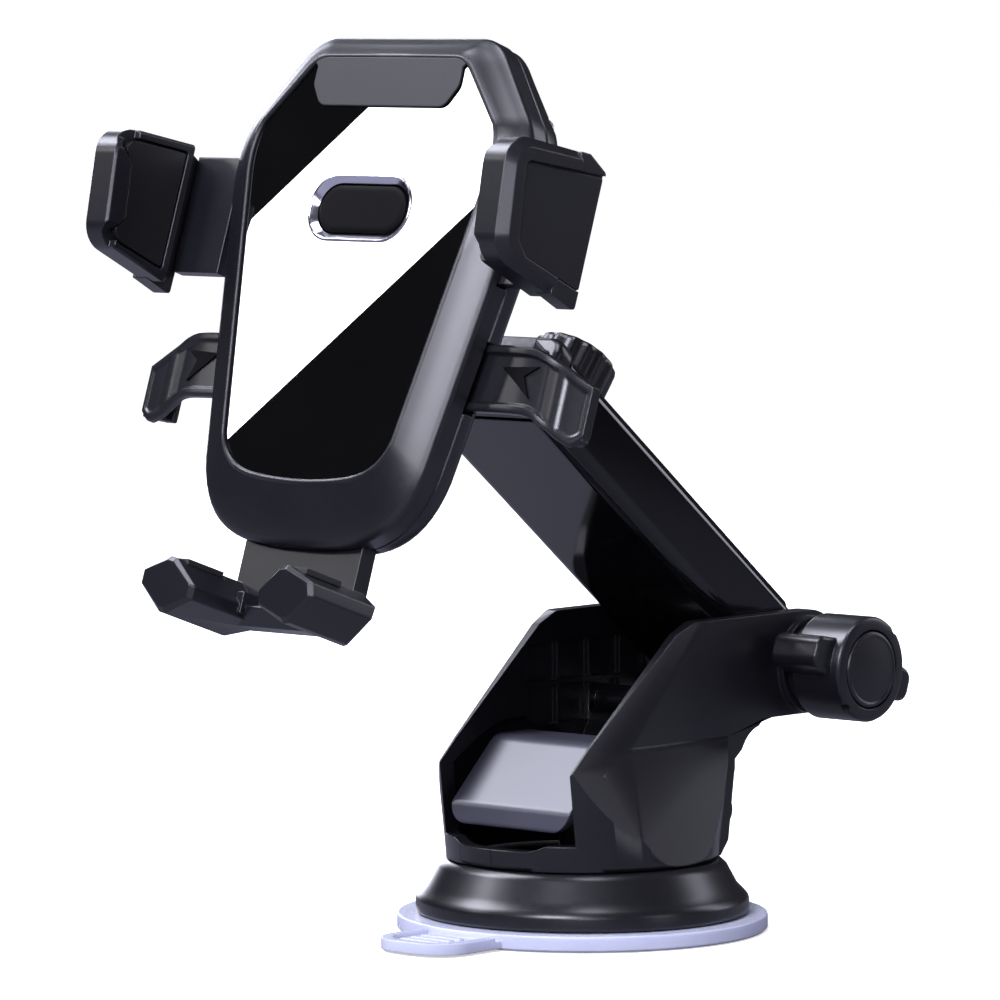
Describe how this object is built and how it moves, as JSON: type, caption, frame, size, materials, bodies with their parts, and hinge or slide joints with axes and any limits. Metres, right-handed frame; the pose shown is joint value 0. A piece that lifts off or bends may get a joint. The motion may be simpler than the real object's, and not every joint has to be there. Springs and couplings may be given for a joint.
{
  "type": "car phone mount",
  "caption": "Suction-foot phone holder with a pitching telescopic arm, ball joint, two spring-shut side jaws, release wings and a hooked phone rest.",
  "frame": {"origin": "centre of the suction pad's underside, on the surface it sticks to", "axes": "+Z away from the surface, -Y towards the side the phone faces, +X towards the hinge's winged knob"},
  "size_m": [0.1236, 0.1799, 0.1917],
  "materials": {
    "black_plastic": "fine satin moulded black",
    "grey_plastic": "satin dark grey",
    "lever_plastic": "smooth violet-grey",
    "face_gloss": "mirror-polished black",
    "ring_chrome": "bright plated",
    "rubber": "matt rubber",
    "soft_pad": "milky translucent gel rubber",
    "steel": "plated steel"
  },
  "bodies": {
    "base": {"suction_pad": "soft_pad", "base_ring": "black_plastic", "housing_left": "black_plastic", "housing_right": "black_plastic", "housing_screw_upper": "steel", "housing_screw_lower": "steel", "lever_pin": "steel", "hinge_bolt": "steel", "washer_left": "steel", "washer_right": "steel"},
    "pad_centre": {"pad_core": "soft_pad", "suction_stem": "grey_plastic", "stem_pin": "steel"},
    "lever": {"suction_lever": "lever_plastic"},
    "hinge_knob": {"wing_knob": "black_plastic", "knob_cap": "black_plastic", "knob_nut": "steel"},
    "outer_arm": {"outer_arm": "black_plastic", "arm_collar": "black_plastic", "lock_shoe": "steel"},
    "lock_knob": {"extension_knob": "black_plastic"},
    "inner_arm": {"inner_arm": "grey_plastic", "ball_stud": "grey_plastic"},
    "ball_liner": {"ball_liner": "grey_plastic"},
    "ball_nut": {"ball_nut": "black_plastic"},
    "head": {"front_bezel": "black_plastic", "face_plate": "face_gloss", "trigger_ring": "ring_chrome", "rear_cover": "black_plastic", "pinion_axle": "steel", "pawl_pin": "steel", "head_screw_1": "steel", "head_screw_2": "steel", "head_screw_3": "steel", "head_screw_4": "steel", "clamp_spring": "steel", "trigger_spring": "steel", "wing_spring_left": "steel", "wing_spring_right": "steel"},
    "clamp_left": {"clamp_arm_left": "black_plastic", "jaw_left": "black_plastic", "jaw_pad_left": "rubber", "jaw_inlay_left": "black_plastic"},
    "clamp_right": {"clamp_arm_right": "black_plastic", "jaw_right": "black_plastic", "jaw_pad_right": "rubber", "jaw_inlay_right": "black_plastic"},
    "pinion": {"pinion": "grey_plastic"},
    "wing_left": {"wing_left": "black_plastic"},
    "wing_right": {"wing_right": "black_plastic"},
    "pawl": {"release_pawl": "grey_plastic"},
    "foot": {"foot_slide": "black_plastic", "foot_pad_left": "rubber", "foot_pad_right": "rubber"},
    "trigger": {"trigger_button": "black_plastic"}
  },
  "joints": [
    {"name": "arm_pitch", "type": "hinge", "parent": "base", "child": "outer_arm", "pos_m": [0, 0.0495, 0.0547], "axis": [-1, 0, 0], "range_deg": [-25, 105]},
    {"name": "hinge_knob_turn", "type": "hinge", "parent": "base", "child": "hinge_knob", "pos_m": [0, 0.0495, 0.0547], "axis": [1, 0, 0], "continuous": true},
    {"name": "lever_release", "type": "hinge", "parent": "base", "child": "lever", "pos_m": [0, 0.003, 0.031], "axis": [-1, 0, 0], "range_deg": [0, 60]},
    {"name": "stem_lift", "type": "slide", "parent": "base", "child": "pad_centre", "axis": [0, 0, 1], "range_m": [-0.002, 0]},
    {"name": "arm_extend", "type": "slide", "parent": "outer_arm", "child": "inner_arm", "axis": [0, -0.788, 0.6157], "range_m": [0, 0.045]},
    {"name": "lock_knob_turn", "type": "hinge", "parent": "outer_arm", "child": "lock_knob", "pos_m": [0, -0.00852, 0.11526], "axis": [0, 0.6157, 0.788], "continuous": true},
    {"name": "head_tilt", "type": "hinge", "parent": "inner_arm", "child": "ball_liner", "pos_m": [0, -0.04853, 0.13421], "axis": [-1, 0, 0], "range_deg": [-12, 45]},
    {"name": "head_pan", "type": "hinge", "parent": "ball_liner", "child": "ball_nut", "pos_m": [0, -0.04853, 0.13421], "axis": [0, 0.319, 0.9478], "range_deg": [-18, 18]},
    {"name": "head_spin", "type": "hinge", "parent": "ball_nut", "child": "head", "pos_m": [0, -0.04853, 0.13421], "axis": [0, 0.9478, -0.319], "continuous": true},
    {"name": "clamp_left_close", "type": "slide", "parent": "head", "child": "clamp_left", "axis": [1, 0, 0], "range_m": [0, 0.012], "deforming": ["clamp_spring"]},
    {"name": "clamp_right_close", "type": "slide", "parent": "head", "child": "clamp_right", "axis": [-1, 0, 0], "range_m": [0, 0.012]},
    {"name": "pinion_turn", "type": "hinge", "parent": "head", "child": "pinion", "pos_m": [0, -0.06416, 0.15361], "axis": [0, 0.9478, -0.319], "range_deg": [0, 138]},
    {"name": "wing_left_press", "type": "slide", "parent": "head", "child": "wing_left", "axis": [1, 0, 0], "range_m": [0, 0.004], "stiffness_N_per_m": 200, "deforming": ["wing_spring_left"]},
    {"name": "wing_right_press", "type": "slide", "parent": "head", "child": "wing_right", "axis": [-1, 0, 0], "range_m": [0, 0.004], "stiffness_N_per_m": 200, "deforming": ["wing_spring_right"]},
    {"name": "pawl_release", "type": "hinge", "parent": "head", "child": "pawl", "pos_m": [-0.018, -0.06645, 0.13676], "axis": [0, 0.9478, -0.319], "range_deg": [0, 8.1]},
    {"name": "foot_extend", "type": "slide", "parent": "head", "child": "foot", "axis": [0, -0.319, -0.9478], "range_m": [-0.007, 0.006]},
    {"name": "trigger_press", "type": "slide", "parent": "head", "child": "trigger", "axis": [0, 0.9478, -0.319], "range_m": [0, 0.0015], "stiffness_N_per_m": 150, "deforming": ["trigger_spring"]}
  ],
  "couplings": [
    {"joint": "clamp_right_close", "follows": "clamp_left_close", "ratio": 1},
    {"joint": "pinion_turn", "follows": "clamp_left_close", "rad_per_m": 200},
    {"joint": "stem_lift", "follows": "lever_release", "m_per_rad": -0.0019},
    {"joint": "pawl_release", "follows": "wing_left_press", "rad_per_m": 34.9}
  ]
}
